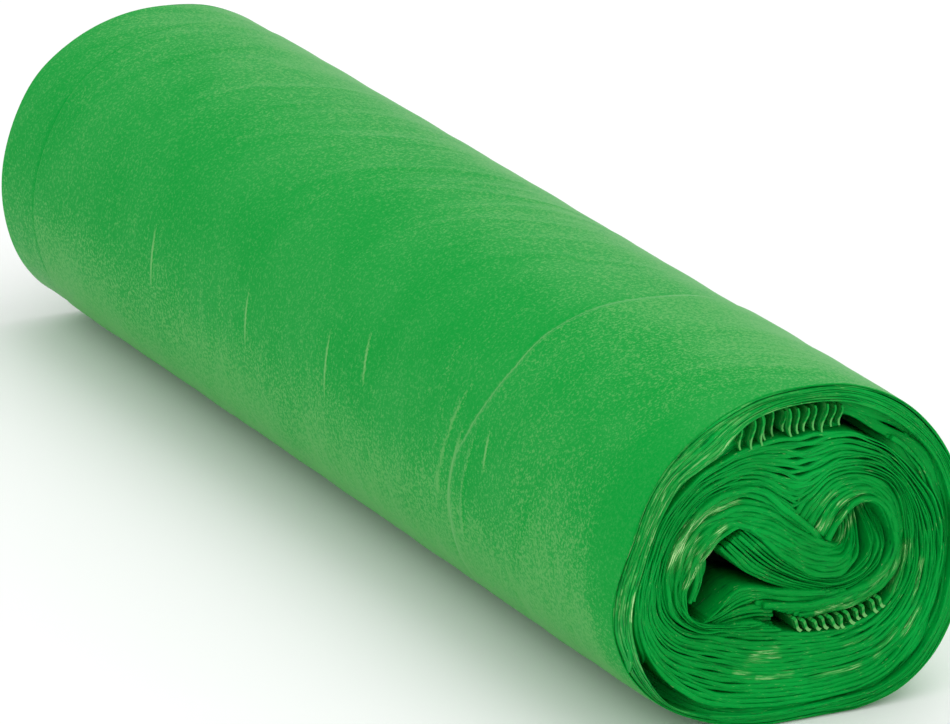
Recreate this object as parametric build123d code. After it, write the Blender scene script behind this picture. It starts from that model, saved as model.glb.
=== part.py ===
from build123d import *
import math
import os

# A coreless roll of folded film sacks, lying on its side. X runs along the roll, Z is up, and the
# origin is on the ground under the middle of the roll. The turns are one continuous perforated web,
# so the whole roll is one solid. Every size is in millimetres.

# Overall sizes
LENGTH = 350.0            # sack width folded once, along X
WIDTH = 91.0              # across the lying roll, along Y
HEIGHT = 81.0             # the roll's own weight squashes it a little
FLAT_SPOT_WIDTH = 25.0    # strip that touches the ground
FLAT_SPOT_SHIFT = 4.5     # middle of that strip, off the roll's middle

# Steps along the outside
FRONT_STRETCH = 83.0      # fat stretch between the +X end and the crease round the roll
CREASE_SLOPE = 6.0        # length over which the girth drops at the crease
CREASE_DROP = 1.2
WRAP_SHORT = 22.0         # the last wraps stop this far before the -X end
WRAP_DROP = 1.0

# Ends of the roll
DISH_DEPTH = 5.0          # the innermost turns lie this far inside the outermost ones
DISH_STEPS = 5            # packets of turns that step down towards the middle
GROOVES_PER_STEP = 1      # open gaps between turns in each packet
GROOVE_WIDTH = 0.5
GROOVE_DEPTH = 1.5
RIM_SETBACK = 1.2         # the outermost plies stop short of the bundle under them
RIM_PLY = 1.4             # thickness of those plies

# Gaps between the outer bundle and the ring of turns, seen at each end
GAP_DEPTH = 40.0
PLEAT_DEPTH = 14.0
PLEAT_COUNT = 11
PLEAT_PITCH = 2.5
PLEAT_GAP = 1.3
PLEAT_HEIGHT = 6.5
PLEAT_LEAN = 6.0          # degrees from one pleat of the fan to the next but one

# Gathered folds under the heart-shaped middle
TOOTH_COUNT = 9
TOOTH_PITCH = 2.7
TOOTH_GAP = 1.0
TOOTH_LENGTH = 4.2
TOOTH_LEAN = 32.0         # degrees from upright
TOOTH_DEPTH = 9.0

# The section is drawn at this size and stretched to WIDTH and HEIGHT. Its points are
# (across, up) from the middle of the flat side's ground line.
DRAWN_WIDTH = 91.0
DRAWN_HEIGHT = 81.0

OUTSIDE = [
    (28.5, 3.0), (37.5, 10.5), (43.5, 22.5), (45.5, 37.5), (44.5, 48.5), (41.0, 58.0), (35.5, 66.5),
    (27.5, 73.8), (15.0, 79.4), (0.5, 81.0), (-12.5, 79.7), (-24.5, 74.8),
    (-34.5, 67.0), (-41.3, 56.5), (-44.9, 44.5), (-45.35, 33.5), (-43.0, 22.5), (-38.8, 14.0),
    (-32.0, 7.0), (-21.5, 2.2),
]

# The turns nest between a heart round the folded middle and the last turn of the ring. Both are
# given as distances from the same point, at equal angles that start at +Y and turn towards +Z.
TURN_CENTRE = (3.0, 35.5)
HEART = [19.0, 22.0, 22.0, 14.5, 9.5, 12.5, 20.0, 25.0, 27.0, 25.5, 19.0, 16.5, 15.5, 16.5, 17.5, 18.5]
RING = [36.5, 36.0, 34.0, 33.5, 33.3, 35.3, 36.8, 39.5, 41.0, 40.5, 37.5, 33.6, 32.0, 33.6, 36.0, 36.6]

# Hollows of the folded middle, which run the whole length
LEFT_HOLLOW = [(-21.0, 45.5), (-16.0, 44.0), (-10.0, 39.0), (-13.0, 35.5), (-16.0, 32.0),
               (-21.5, 28.0), (-24.5, 31.5), (-21.5, 37.5)]
LEFT_SLIT = [(-14.5, 50.0), (-11.0, 49.0), (-7.0, 43.5), (-9.0, 44.0), (-13.0, 48.0)]
RIGHT_HOLLOW = [(17.5, 49.0), (22.0, 48.3), (21.0, 43.0), (18.5, 38.5), (17.8, 43.0)]

# Gaps beside the ring of turns, at each end
BLACK_GAP = [(13.5, 71.3), (16.5, 70.6), (21.0, 67.5), (24.0, 64.2), (20.5, 65.2), (14.5, 69.3)]
SIDE_GAP = [(27.5, 63.5), (30.5, 61.0), (33.5, 56.0), (35.5, 50.0), (32.0, 53.5), (29.0, 58.0)]
LOW_GAP = [(-38.3, 18.0), (-36.0, 14.2), (-32.0, 11.0), (-27.0, 7.9), (-28.0, 9.5), (-32.5, 12.6),
           (-36.5, 16.0)]
PLEATS_MIDDLE = (-2.0, 72.3)
TEETH_START = (0.5, 24.0)
TEETH_END = (22.0, 20.5)


def place(point, inset=0.0):
    """A drawn (across, up) point at the roll's real size, drawn in by inset at the sides and top."""
    across, up = point
    return (
        across * (WIDTH - 2 * inset) / DRAWN_WIDTH,
        up * (HEIGHT - inset) / DRAWN_HEIGHT,
    )


def end_plane(x):
    """The plane across the roll at x, with its own X along +Y and its own Y up."""
    return Plane(origin=(x, 0, 0), x_dir=(0, 1, 0), z_dir=(1, 0, 0))


def outside_face(inset=0.0):
    """The roll's outline: a flat spot on the ground and one soft curve over the top."""
    low_left = (FLAT_SPOT_SHIFT - FLAT_SPOT_WIDTH / 2, 0)
    low_right = (FLAT_SPOT_SHIFT + FLAT_SPOT_WIDTH / 2, 0)
    over = [place(point, inset) for point in OUTSIDE]
    edges = [
        Line(low_left, low_right),
        Spline(low_right, *over, low_left),
    ]
    return make_face(edges)


def closed_face(points):
    """A face inside one smooth closed curve through drawn points."""
    return make_face(Spline(*[place(point) for point in points], periodic=True))


def turn_face(share, grow=0.0):
    """The face inside the turn that lies at share, from 0 at the heart to 1 at the ring's last turn."""
    points = []
    for index, (inner, outer) in enumerate(zip(HEART, RING)):
        angle = 2 * math.pi * index / len(HEART)
        radius = inner + share * (outer - inner) + grow
        points.append((
            TURN_CENTRE[0] + radius * math.cos(angle),
            TURN_CENTRE[1] + radius * math.sin(angle),
        ))
    return closed_face(points)


def stretch(face, start, end):
    """A prism of face along X between start and end."""
    return end_plane(start) * extrude(face, amount=end - start)


def wound_body():
    """The outside of the roll, with the crease round it and the short last wraps."""
    front = LENGTH / 2
    crease = front - FRONT_STRETCH
    wrap_end = -LENGTH / 2 + WRAP_SHORT
    slope = loft([
        end_plane(crease - CREASE_SLOPE) * outside_face(CREASE_DROP),
        end_plane(crease) * outside_face(),
    ])
    return (
        stretch(outside_face(), crease, front)
        + slope
        + stretch(outside_face(CREASE_DROP), wrap_end, crease - CREASE_SLOPE)
        + stretch(outside_face(CREASE_DROP + WRAP_DROP), -front, wrap_end)
    )


def hollows():
    """The hollows of the folded middle, right through the roll."""
    over = 1.0
    return [
        stretch(closed_face(points), -LENGTH / 2 - over, LENGTH / 2 + over)
        for points in (LEFT_HOLLOW, LEFT_SLIT, RIGHT_HOLLOW)
    ]


def into_end(face, depth):
    """A prism that goes depth into an end whose face is at x = 0 and looks along +X."""
    return stretch(face, -depth, DISH_DEPTH)


def dish_cuts():
    """Packets of turns that step inwards from the rim, each as one cut, outermost first."""
    cuts = []
    for step in range(DISH_STEPS):
        share = 1 - step / DISH_STEPS
        depth = DISH_DEPTH * (step + 1) / DISH_STEPS
        cuts.append([into_end(turn_face(share), depth)])
    return cuts


def groove_cuts():
    """Open gaps between turns, sunk into the floor of each step of the dish."""
    cuts = []
    for step in range(DISH_STEPS):
        depth = DISH_DEPTH * (step + 1) / DISH_STEPS
        for groove in range(GROOVES_PER_STEP):
            share = 1 - (step + (groove + 0.5) / GROOVES_PER_STEP) / DISH_STEPS
            ring = turn_face(share, GROOVE_WIDTH) - turn_face(share)
            cuts.append([into_end(ring, depth + GROOVE_DEPTH)])
    return cuts


def slot_face(width, height):
    """A narrow slot with round ends, upright about its own middle."""
    return Rot(0, 0, 90) * SlotOverall(height, width).face()


def pleat_cuts():
    """The dark gaps between the fanned pleats under the outer bundle."""
    middle = place(PLEATS_MIDDLE)
    cuts = []
    for index in range(PLEAT_COUNT):
        offset = index - (PLEAT_COUNT - 1) / 2
        arch = abs(offset) ** 2 * 0.06
        where = Pos(middle[0] + offset * PLEAT_PITCH, middle[1] - arch, 0)
        lean = PLEAT_LEAN * math.sin(1.7 * index)
        height = PLEAT_HEIGHT - 2 * arch
        cuts.append(into_end(where * Rot(0, 0, lean) * slot_face(PLEAT_GAP, height), PLEAT_DEPTH))
    return cuts


def tooth_cuts():
    """The row of leaning gaps between gathered folds below the heart."""
    start = place(TEETH_START)
    end = place(TEETH_END)
    count_length = (TOOTH_COUNT - 1) * TOOTH_PITCH
    heading = math.atan2(end[1] - start[1], end[0] - start[0])
    cuts = []
    for index in range(TOOTH_COUNT):
        along = index * TOOTH_PITCH
        sag = 1.5 * math.sin(math.pi * along / count_length)
        where = Pos(start[0] + along * math.cos(heading), start[1] + along * math.sin(heading) - sag, 0)
        cuts.append(into_end(where * Rot(0, 0, TOOTH_LEAN) * slot_face(TOOTH_GAP, TOOTH_LENGTH), TOOTH_DEPTH))
    return cuts


def rim_cut():
    """The outermost plies stop short of the rest, all round."""
    rest = outside_face(RIM_PLY)
    return into_end(outside_face() - rest, RIM_SETBACK)


def gap_cuts():
    """The open gaps between the outer bundle and the ring of turns."""
    return [into_end(closed_face(points), GAP_DEPTH) for points in (BLACK_GAP, SIDE_GAP, LOW_GAP)]


def end_cuts():
    """Groups of cuts for an end at x = 0 that looks along +X, in the order they are made."""
    return [[rim_cut()]] + dish_cuts() + groove_cuts() + [pleat_cuts(), tooth_cuts(), gap_cuts()]


def bag_roll():
    """The whole wound roll, cut the same way at both ends."""
    body = wound_body() - hollows()
    for group in end_cuts():
        at_front = [Pos(LENGTH / 2, 0, 0) * cut for cut in group]
        at_back = [mirror(cut, about=Plane.YZ) for cut in at_front]
        body -= at_front + at_back
    return body


os.makedirs("parts", exist_ok=True)
roll = bag_roll()
roll.label = "bag_roll"
export_step(roll, "parts/bag_roll.step")
print("bag_roll", round(roll.volume), "mm3", len(roll.solids()), "solid")
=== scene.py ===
"""Visual model of a coreless roll of folded green film sacks, lying on its side.

The roll is one continuous web. Its long outside is the last wrap, and at both ends the edges of
the turns show: a bundle of slack outer turns, the tight ring under them, and the folded middle
with its two hollows. X runs along the roll, Z is up, and the ground is at zero. Sizes in the
classes are millimetres and become metres when a mesh is made.
"""
import logging
import math
from dataclasses import dataclass, field
from enum import Enum

import bpy
import numpy as np
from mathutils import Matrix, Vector


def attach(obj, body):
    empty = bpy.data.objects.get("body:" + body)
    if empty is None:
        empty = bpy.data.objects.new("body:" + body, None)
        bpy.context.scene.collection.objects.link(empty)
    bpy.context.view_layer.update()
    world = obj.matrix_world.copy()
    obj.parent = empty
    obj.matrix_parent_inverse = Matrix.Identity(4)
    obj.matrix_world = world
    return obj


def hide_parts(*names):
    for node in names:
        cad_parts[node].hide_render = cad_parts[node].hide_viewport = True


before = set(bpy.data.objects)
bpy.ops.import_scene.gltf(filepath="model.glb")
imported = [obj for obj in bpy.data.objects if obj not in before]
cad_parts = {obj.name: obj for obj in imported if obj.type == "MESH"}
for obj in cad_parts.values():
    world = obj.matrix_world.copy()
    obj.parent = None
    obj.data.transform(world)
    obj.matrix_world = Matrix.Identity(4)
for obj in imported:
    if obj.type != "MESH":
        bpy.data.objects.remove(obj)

LOG = logging.getLogger("bag_roll")
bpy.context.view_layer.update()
MM = 0.001
NODE = "bag_roll"
BODY = "root"

GROUND_ANGLE = 276  # degrees round the roll to where it meets the ground
FULL_TURN = 2 * math.pi

Array = np.ndarray
Material = bpy.types.Material
Object = bpy.types.Object
Socket = bpy.types.NodeSocket
Points = list[tuple[float, float]]
Colour = tuple[float, float, float, float]


class End(Enum):
    """The two ends of the roll, as the sign of their X."""

    FRONT = 1
    BACK = -1


# --- Curves and noise ---


def smoothstep(low: float, high: float, value: Array) -> Array:
    """A soft step from 0 at low to 1 at high."""
    share = np.clip((value - low) / (high - low), 0, 1)
    return share * share * (3 - 2 * share)


def bump(centre: float, width: float, value: Array) -> Array:
    """A soft bell of height 1 at centre that is near zero past width."""
    return np.exp(-(((value - centre) / width) ** 2))


def spline_through(points: Points, closed: bool, per_span: int = 24) -> Array:
    """A centripetal Catmull-Rom curve through given points.

    Args:
        points: the (across, up) points, in mm.
        closed: whether the curve comes back to its first point.
        per_span: samples from one point to the next.

    Returns:
        The curve's samples as an array of (across, up).
    """
    knots = np.array(points, float)
    if closed:
        knots = np.vstack([knots[-1:], knots, knots[:2]])
    else:
        knots = np.vstack([2 * knots[:1] - knots[1:2], knots, 2 * knots[-1:] - knots[-2:-1]])
    share = np.linspace(0, 1, per_span, endpoint=False)[:, None]
    spans = []
    for index in range(1, len(knots) - 2):
        a, b, c, d = knots[index - 1:index + 3]
        t1 = np.linalg.norm(b - a) ** 0.5
        t2 = t1 + np.linalg.norm(c - b) ** 0.5
        t3 = t2 + np.linalg.norm(d - c) ** 0.5
        t = t1 + share * (t2 - t1)
        a1 = (t1 - t) / t1 * a + t / t1 * b
        a2 = (t2 - t) / (t2 - t1) * b + (t - t1) / (t2 - t1) * c
        a3 = (t3 - t) / (t3 - t2) * c + (t - t2) / (t3 - t2) * d
        b1 = (t2 - t) / t2 * a1 + t / t2 * a2
        b2 = (t3 - t) / (t3 - t1) * a2 + (t - t1) / (t3 - t1) * a3
        spans.append((t2 - t) / (t2 - t1) * b1 + (t - t1) / (t2 - t1) * b2)
    if not closed:
        spans.append(knots[-2:-1])
    return np.vstack(spans)


def evenly(curve: Array, count: int) -> Array:
    """The same open curve with count samples at equal distances along it.

    Args:
        curve: (n, 2) samples of the curve.
        count: how many samples to give.

    Returns:
        (count, 2) samples.
    """
    along = np.concatenate([[0], np.cumsum(np.linalg.norm(np.diff(curve, axis=0), axis=1))])
    at = np.linspace(0, along[-1], count)
    return np.stack([np.interp(at, along, curve[:, axis]) for axis in (0, 1)], axis=1)


def around(angle: Array) -> Array:
    """The angle in degrees, from 0 to 360."""
    return np.degrees(angle) % 360


class Ripple:
    """Smooth seeded noise round the roll that drifts from one turn to the next."""

    def __init__(self, seed: int, waves: tuple[int, ...], drift: float = 0.35) -> None:
        """Draws a phase and a drift for each wave.

        Args:
            seed: the random seed.
            waves: how many times each wave goes round the roll.
            drift: how far a wave's phase moves from one turn to the next, in radians.
        """
        rng = np.random.RandomState(seed)
        self.waves = waves
        self.phases = rng.uniform(0, FULL_TURN, len(waves))
        self.drifts = rng.normal(0, drift, len(waves))
        self.sizes = rng.uniform(0.5, 1.0, len(waves))

    def at(self, angle: Array, turn: Array | float = 0.0) -> Array:
        """The noise at an angle and turn, mostly between -1 and 1.

        Args:
            angle: places round the roll, in radians.
            turn: which turn, counted from 0.

        Returns:
            The noise, of the places' shape.
        """
        total = np.zeros(np.broadcast(angle, turn).shape)
        for wave, phase, drift, size in zip(self.waves, self.phases, self.drifts, self.sizes):
            total = total + size * np.sin(wave * angle + phase + drift * wave**0.5 * turn)
        return total / math.sqrt(len(self.waves))


# --- The section of the roll ---


@dataclass
class Section:
    """The roll's section as loops round one point: outside, bundle, ring and heart."""

    centre: tuple[float, float] = (2.0, 37.0)
    samples: int = 720
    outside: Points = field(default_factory=lambda: [
        (17, 0), (28.5, 3), (37.5, 10.5), (43.5, 22.5), (45.5, 37.5), (44.5, 48.5), (41, 58), (35.5, 66.5),
        (27.5, 73.8), (15, 79.4), (0.5, 81), (-12.5, 79.7), (-24.5, 74.8), (-34.5, 67), (-41.3, 56.5),
        (-44.9, 44.5), (-45.4, 33.5), (-43, 22.5), (-38.8, 14), (-32, 7), (-21.5, 2.2), (-8, 0), (4.5, 0),
    ])
    bundle: Points = field(default_factory=lambda: [
        (10, 3.4), (22, 4.6), (31, 9.5), (37.5, 19), (40.5, 30), (41, 40), (39.5, 50), (36, 58.5),
        (30, 65.5), (22, 71.5), (14, 75.3), (7, 76.8), (0, 77), (-7, 76.2), (-12.5, 74.3), (-17, 71),
        (-20, 68), (-25, 65.3), (-30, 62.5), (-34, 57), (-37.5, 50), (-40, 43), (-42, 36.5), (-42.5, 30),
        (-41, 23), (-38, 16.5), (-32.5, 9.6), (-24, 5.6), (-10, 3.4),
    ])
    ring: Points = field(default_factory=lambda: [
        (10, 4.4), (21, 6), (29.5, 11), (35.5, 20), (38.6, 30), (38.8, 40), (36.5, 48), (32.5, 54),
        (29, 58.5), (25, 62.5), (20, 65.5), (14.5, 68.3), (7, 69.2), (0, 69.4), (-7, 69), (-14, 67.8),
        (-20, 65.6), (-26, 63), (-31, 58.5), (-35.5, 52), (-38.5, 43.5), (-40.3, 36), (-40.5, 30),
        (-38.7, 24), (-35, 18), (-29, 12), (-20, 7), (-8, 4.6),
    ])
    heart: Points = field(default_factory=lambda: [
        (8, 19.3), (17, 19.8), (24.8, 23.6), (29.4, 30), (31, 38), (29.5, 47), (26.5, 52.5), (21, 56),
        (15, 57), (9.5, 55.5), (5, 51.5), (2.2, 49), (-1, 51.5), (-6.5, 56), (-13, 57.3), (-20, 55.5),
        (-26, 51), (-30.5, 44), (-31.5, 37), (-30, 30), (-24, 25), (-15, 23.6), (-4, 21.5),
    ])

    def __post_init__(self) -> None:
        """Turns each loop of points into distances from the centre at equal angles."""
        self.angles = np.linspace(0, FULL_TURN, self.samples, endpoint=False)
        names = ("outside", "bundle", "ring", "heart")
        self.radii = {name: self._radii(getattr(self, name)) for name in names}

    def _radii(self, points: Points) -> Array:
        """The distance from the centre to a closed loop, at each of the section's angles.

        Args:
            points: the loop's points, in mm.

        Returns:
            The distance in mm at each angle.
        """
        loop = spline_through(points, closed=True, per_span=60) - np.array(self.centre)
        angle = np.unwrap(np.arctan2(loop[:, 1], loop[:, 0]))
        radius = np.hypot(loop[:, 0], loop[:, 1])
        order = np.argsort(angle % (FULL_TURN), kind="stable")
        return np.interp(self.angles, (angle % (FULL_TURN))[order], radius[order], period=FULL_TURN)

    def radius(self, name: str, angle: Array) -> Array:
        """The distance to the named loop at any angle."""
        return np.interp(angle % (FULL_TURN), self.angles, self.radii[name], period=FULL_TURN)

    def point(self, angle: Array, radius: Array) -> Array:
        """The (across, up) points at a distance from the centre.

        Args:
            angle: angles round the centre, in radians.
            radius: distances from the centre, in mm.

        Returns:
            The points, in mm.
        """
        across = self.centre[0] + radius * np.cos(angle)
        up = np.maximum(self.centre[1] + radius * np.sin(angle), 0.0)
        return np.stack([across, up], axis=-1)


# --- Meshes ---


def quad_grid(rows: int, columns: int, closed: bool = True) -> Array:
    """The quads between rows of vertices that each go once round.

    Args:
        rows: how many rows there are.
        columns: how many vertices a row has.
        closed: whether the last row joins the first.

    Returns:
        (n, 4) vertex numbers.
    """
    i = np.arange(rows if closed else rows - 1)[:, None]
    j = np.arange(columns)[None, :]
    after, beside = (i + 1) % rows * columns, (j + 1) % columns
    i = i * columns
    return np.stack([i + j, i + beside, after + beside, after + j], axis=-1).reshape(-1, 4)


def cap_strip(columns: int) -> Array:
    """The quads that fill one closed row of vertices from side to side."""
    return np.array([[k, columns - 1 - k, columns - 2 - k, k + 1] for k in range(columns // 2 - 1)])


def add_object(name: str, data: bpy.types.ID) -> Object:
    """Makes an object of the data and links it to the scene.

    Args:
        name: the object's name.
        data: its mesh, light or camera.

    Returns:
        The new object.
    """
    obj = bpy.data.objects.new(name, data)
    bpy.context.scene.collection.objects.link(obj)
    return obj


@dataclass
class MeshParts:
    """Vertices, quads and per-vertex values gathered before a mesh is made."""

    points: list[Array] = field(default_factory=list)
    faces: list[Array] = field(default_factory=list)
    along: list[Array] = field(default_factory=list)
    highlight_and_whitening: list[Array] = field(default_factory=list)
    count: int = 0

    def add(
        self, points: Array, faces: Array, along: Array, highlight_and_whitening: Array, loop: float = 0.0
    ) -> None:
        """Adds a block of vertices and the quads between them.

        Args:
            points: (n, 3) vertices in mm.
            faces: (m, 4) vertex numbers within the block.
            along: (n, 2) film coordinates, in mm: along the turn and across the film.
            highlight_and_whitening: (n,) painted highlight and sheen there, partly stress whitening of the
                film, from 0 to 1.
            loop: the length of a closed turn, or 0; the quads that close it count on to this length.
        """
        corners = along[faces]
        if loop:
            first = corners[..., 0]
            closing = first.max(axis=1, keepdims=True) - first > loop / 2
            corners[..., 0] = np.where(closing, first + loop, first)
        self.points.append(points)
        self.faces.append(faces + self.count)
        self.along.append(corners.reshape(-1, 2))
        self.highlight_and_whitening.append(highlight_and_whitening)
        self.count += len(points)

    def make(self, name: str, material: Material) -> Object:
        """Makes the object, with its film UV map and its attribute of painted highlight and stress whitening.

        Args:
            name: the piece's name.
            material: the finish of all its faces.

        Returns:
            The new object, linked to the scene and at the origin.
        """
        points = np.vstack(self.points) * MM
        faces = np.vstack(self.faces)
        along = np.vstack(self.along) * MM
        highlight_and_whitening = np.concatenate(self.highlight_and_whitening)
        mesh = bpy.data.meshes.new(name)
        mesh.vertices.add(len(points))
        mesh.vertices.foreach_set("co", points.ravel())
        mesh.loops.add(faces.size)
        mesh.loops.foreach_set("vertex_index", faces.ravel())
        mesh.polygons.add(len(faces))
        mesh.polygons.foreach_set("loop_start", np.arange(0, faces.size, 4))
        mesh.update(calc_edges=True)
        mesh.validate()
        film = mesh.uv_layers.new(name="film")
        film.data.foreach_set("uv", along.ravel())
        # The attribute carries painted highlight and sheen, partly stress whitening of the film.
        mask = mesh.attributes.new("highlight_and_whitening", "FLOAT", "POINT")
        mask.data.foreach_set("value", highlight_and_whitening)
        mesh.shade_smooth()
        mesh.materials.append(material)
        return add_object(name, mesh)


@dataclass
class Ribbon:
    """One strip of film seen edge-on, standing in the roll with its edge towards the end.

    The strip follows a path across the section. Its edge is recess mm inside the end plane and
    it goes depth mm further in. Near the edge it can lean over by flare mm.
    """

    end: End
    half_length: float
    depth: float = 20.0
    flare_reach: float = 3.0
    # How far into the film the painted highlight of the edge fades, in mm.
    highlight_and_whitening_reach: float = 2.0
    turn_shift: float = 3.7
    wound_shift: float = 0.013
    steps: tuple[tuple[float, float], ...] = (
        (1.0, 1.0), (0.25, 1.0), (0.03, 1.0), (0.006, 0.9), (0.0, 0.55),
        (0.0, -0.55), (0.006, -0.9), (0.03, -1.0), (0.25, -1.0), (1.0, -1.0),
    )

    def build(self, parts: MeshParts, path: Array, thickness: Array, recess: Array, flare: Array,
              highlight_and_whitening: Array, closed: bool = False) -> None:
        """Adds the ribbon to the gathered mesh.

        Args:
            parts: where the vertices go.
            path: (n, 2) middle line of the strip, across the section.
            thickness: (n,) thickness of the strip.
            recess: (n,) how far its edge is inside the end plane.
            flare: (n,) how far the edge leans to the path's left.
            highlight_and_whitening: (n,) painted highlight of the edge, partly stress whitening.
            closed: whether the last point joins the first.
        """
        count = len(path)
        if closed:
            tangent = np.roll(path, -1, axis=0) - np.roll(path, 1, axis=0)
            step = np.linalg.norm(path - np.roll(path, 1, axis=0), axis=1)
            step[0] = 0
        else:
            tangent = np.gradient(path, axis=0)
            step = np.concatenate([[0], np.linalg.norm(np.diff(path, axis=0), axis=1)])
        tangent /= np.linalg.norm(tangent, axis=1, keepdims=True) + 1e-9
        left = np.stack([-tangent[:, 1], tangent[:, 0]], axis=1)
        distance = np.cumsum(step)
        shift = self.turn_shift * (parts.count % 97) if closed else distance * self.wound_shift
        rings, uv, mask = [], [], []
        for share, side in self.steps:
            inside = share * self.depth
            lean = flare * math.exp(-inside / self.flare_reach)
            across = path + left * (side * thickness / 2 + lean)[:, None]
            x = self.end.value * (self.half_length - recess - inside)
            rings.append(np.column_stack([x, across]))
            uv.append(np.column_stack([distance, side * thickness / 2 + inside * 0.3 + shift]))
            # The painted highlight fades away from the edge into the film.
            mask.append(highlight_and_whitening * math.exp(-inside / self.highlight_and_whitening_reach))
        size = len(rings)
        points = np.stack(rings, axis=1).reshape(-1, 3)
        faces = [quad_grid(count, size, closed)]
        if not closed:
            cap = cap_strip(size)
            faces += [cap, ((count - 1) * size + cap)[:, ::-1]]
        if self.end is End.BACK:
            faces = [face[:, ::-1] for face in faces]
        loop = distance[-1] + np.linalg.norm(path[0] - path[-1]) if closed else 0.0
        film = np.stack(uv, axis=1).reshape(-1, 2)
        parts.add(points, np.vstack(faces), film, np.stack(mask, axis=1).reshape(-1), loop)


@dataclass
class Tube:
    """A closed wall of film round the roll, thick enough to have an inside and two edges."""

    wall: float = 0.3
    inner_reach: tuple[float, ...] = (0.0, 2.0, 8.0, 20.0)
    inner_drop: tuple[float, ...] = (0.0, 0.1, 0.7, 1.5)

    def build(self, parts: MeshParts, angles: Array, rows: Array, outer: Array, section: Section,
              highlight_and_whitening: Array, pull: Array) -> None:
        """Adds the tube to the gathered mesh.

        Args:
            parts: where the vertices go.
            angles: (n,) angles round the roll.
            rows: (m, n) X of each row of vertices, from the low end to the high end.
            outer: (m, n) distance of the outer surface from the section's centre.
            section: the roll's section.
            highlight_and_whitening: (m, n) painted highlight and sheen of the outer surface, partly stress
                whitening.
            pull: (n,) how far the film's pull has carried its wrinkles along the roll.
        """
        span = 0.45 * (rows[-1] - rows[0])
        high = [rows[-1] - np.minimum(reach, span) for reach in self.inner_reach]
        low = [rows[0] + np.minimum(reach, span) for reach in reversed(self.inner_reach)]
        inner_x = np.array(high + low)
        inner_r = [outer[-1] - drop for drop in self.inner_drop]
        inner_r += [outer[0] - drop for drop in reversed(self.inner_drop)]
        inner_r = np.array(inner_r) - self.wall
        x = np.vstack([rows, inner_x])
        radius = np.vstack([outer, inner_r])
        mask = np.vstack([highlight_and_whitening, np.repeat(highlight_and_whitening[-1:], len(high), 0), np.repeat(highlight_and_whitening[:1], len(low), 0)])
        across = section.point(angles[None, :], radius)
        points = np.concatenate([x[..., None], across], axis=-1).reshape(-1, 3)
        length = np.cumsum(np.concatenate([[0], np.linalg.norm(np.diff(across[0], axis=0), axis=1)]))
        loop = length[-1] + np.linalg.norm(across[0, 0] - across[0, -1])
        along = np.stack([np.broadcast_to(length, x.shape), x + pull], axis=-1).reshape(-1, 2)
        parts.add(points, quad_grid(*x.shape)[:, ::-1], along, mask.reshape(-1), loop)


# --- Finishes ---


class NodeKit:
    """Short ways to add and join nodes in one tree."""

    def __init__(self, tree: bpy.types.NodeTree) -> None:
        """Keeps the tree that nodes go into."""
        self.tree = tree

    def add(self, kind: str, **values: object) -> bpy.types.Node:
        """Adds a node. Each value sets the property of its name, or feeds the input.

        Args:
            kind: the node's type.
            values: numbers, colours or sockets, by name.

        Returns:
            The new node.
        """
        node = self.tree.nodes.new(kind)
        for name, value in values.items():
            if hasattr(node, name):
                setattr(node, name, value)
            else:
                self.feed(value, node.inputs[name.replace("_", " ")])
        return node

    def feed(self, value: object, target: Socket) -> None:
        """Links an output to an input, or sets the input's own value.

        Args:
            value: an output to link, or a number or colour.
            target: the input.
        """
        if isinstance(value, Socket):
            self.tree.links.new(value, target)
        else:
            target.default_value = value

    def maths(self, operation: str, first: object, second: object = 0.0) -> Socket:
        """A Math node on two sockets or numbers, and its result.

        Args:
            operation: the node's operation.
            first: a socket, or a plain value.
            second: a socket, or a plain value.

        Returns:
            The result.
        """
        node = self.add("ShaderNodeMath", operation=operation)
        self.feed(first, node.inputs[0])
        self.feed(second, node.inputs[1])
        return node.outputs[0]

    def scaled(self, source: Socket, size: object) -> Socket:
        """The source times a number or a socket."""
        return self.maths("MULTIPLY", source, size)

    def vector(self, **axes: object) -> Socket:
        """A vector of X, Y and Z."""
        return self.add("ShaderNodeCombineXYZ", **axes).outputs[0]

    def film(self) -> tuple[Socket, Socket]:
        """The film's own coordinates: along the turn and across the film.

        Returns:
            The two coordinates.
        """
        place = self.add("ShaderNodeUVMap", uv_map="film").outputs["UV"]
        split = self.add("ShaderNodeSeparateXYZ", Vector=place)
        return split.outputs["X"], split.outputs["Y"]

    def noise(self, place: Socket, detail: float, roughness: float = 0.5, scale: object = 1.0) -> Socket:
        """A Noise texture's value at a place."""
        node = self.add("ShaderNodeTexNoise", Vector=place, Detail=detail, Roughness=roughness, Scale=scale)
        return node.outputs["Fac"]

    def ramp(self, source: Socket, low: float, high: float) -> Socket:
        """Maps low to 0 and high to 1 with soft ends.

        Args:
            source: the output to map.
            low: what becomes 0.
            high: what becomes 1.

        Returns:
            The mapped value.
        """
        node = self.add("ShaderNodeMapRange", interpolation_type="SMOOTHSTEP", Value=source)
        self.feed(low, node.inputs["From Min"])
        self.feed(high, node.inputs["From Max"])
        return node.outputs["Result"]

    def mix(self, share: object, first: object, second: object) -> Socket:
        """A colour mix of two sockets or colours.

        Args:
            share: how much of the second there is.
            first: a socket, or a plain value.
            second: a socket, or a plain value.

        Returns:
            The mixed colour.
        """
        node = self.add("ShaderNodeMix", data_type="RGBA")
        for index, value in ((0, share), (6, first), (7, second)):
            self.feed(value, node.inputs[index])
        return node.outputs[2]


def new_material(name: str, roughness: float, specular: float) -> tuple[Material, NodeKit, bpy.types.Node]:
    """A new material with an even gloss.

    Args:
        name: the material's name.
        roughness: the shader's roughness.
        specular: the shader's specular level.
    """
    material = bpy.data.materials.new(name)
    material.use_nodes = True
    shader = material.node_tree.nodes["Principled BSDF"]
    shader.inputs["Roughness"].default_value = roughness
    shader.inputs["Specular IOR Level"].default_value = specular
    return material, NodeKit(material.node_tree), shader


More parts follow.
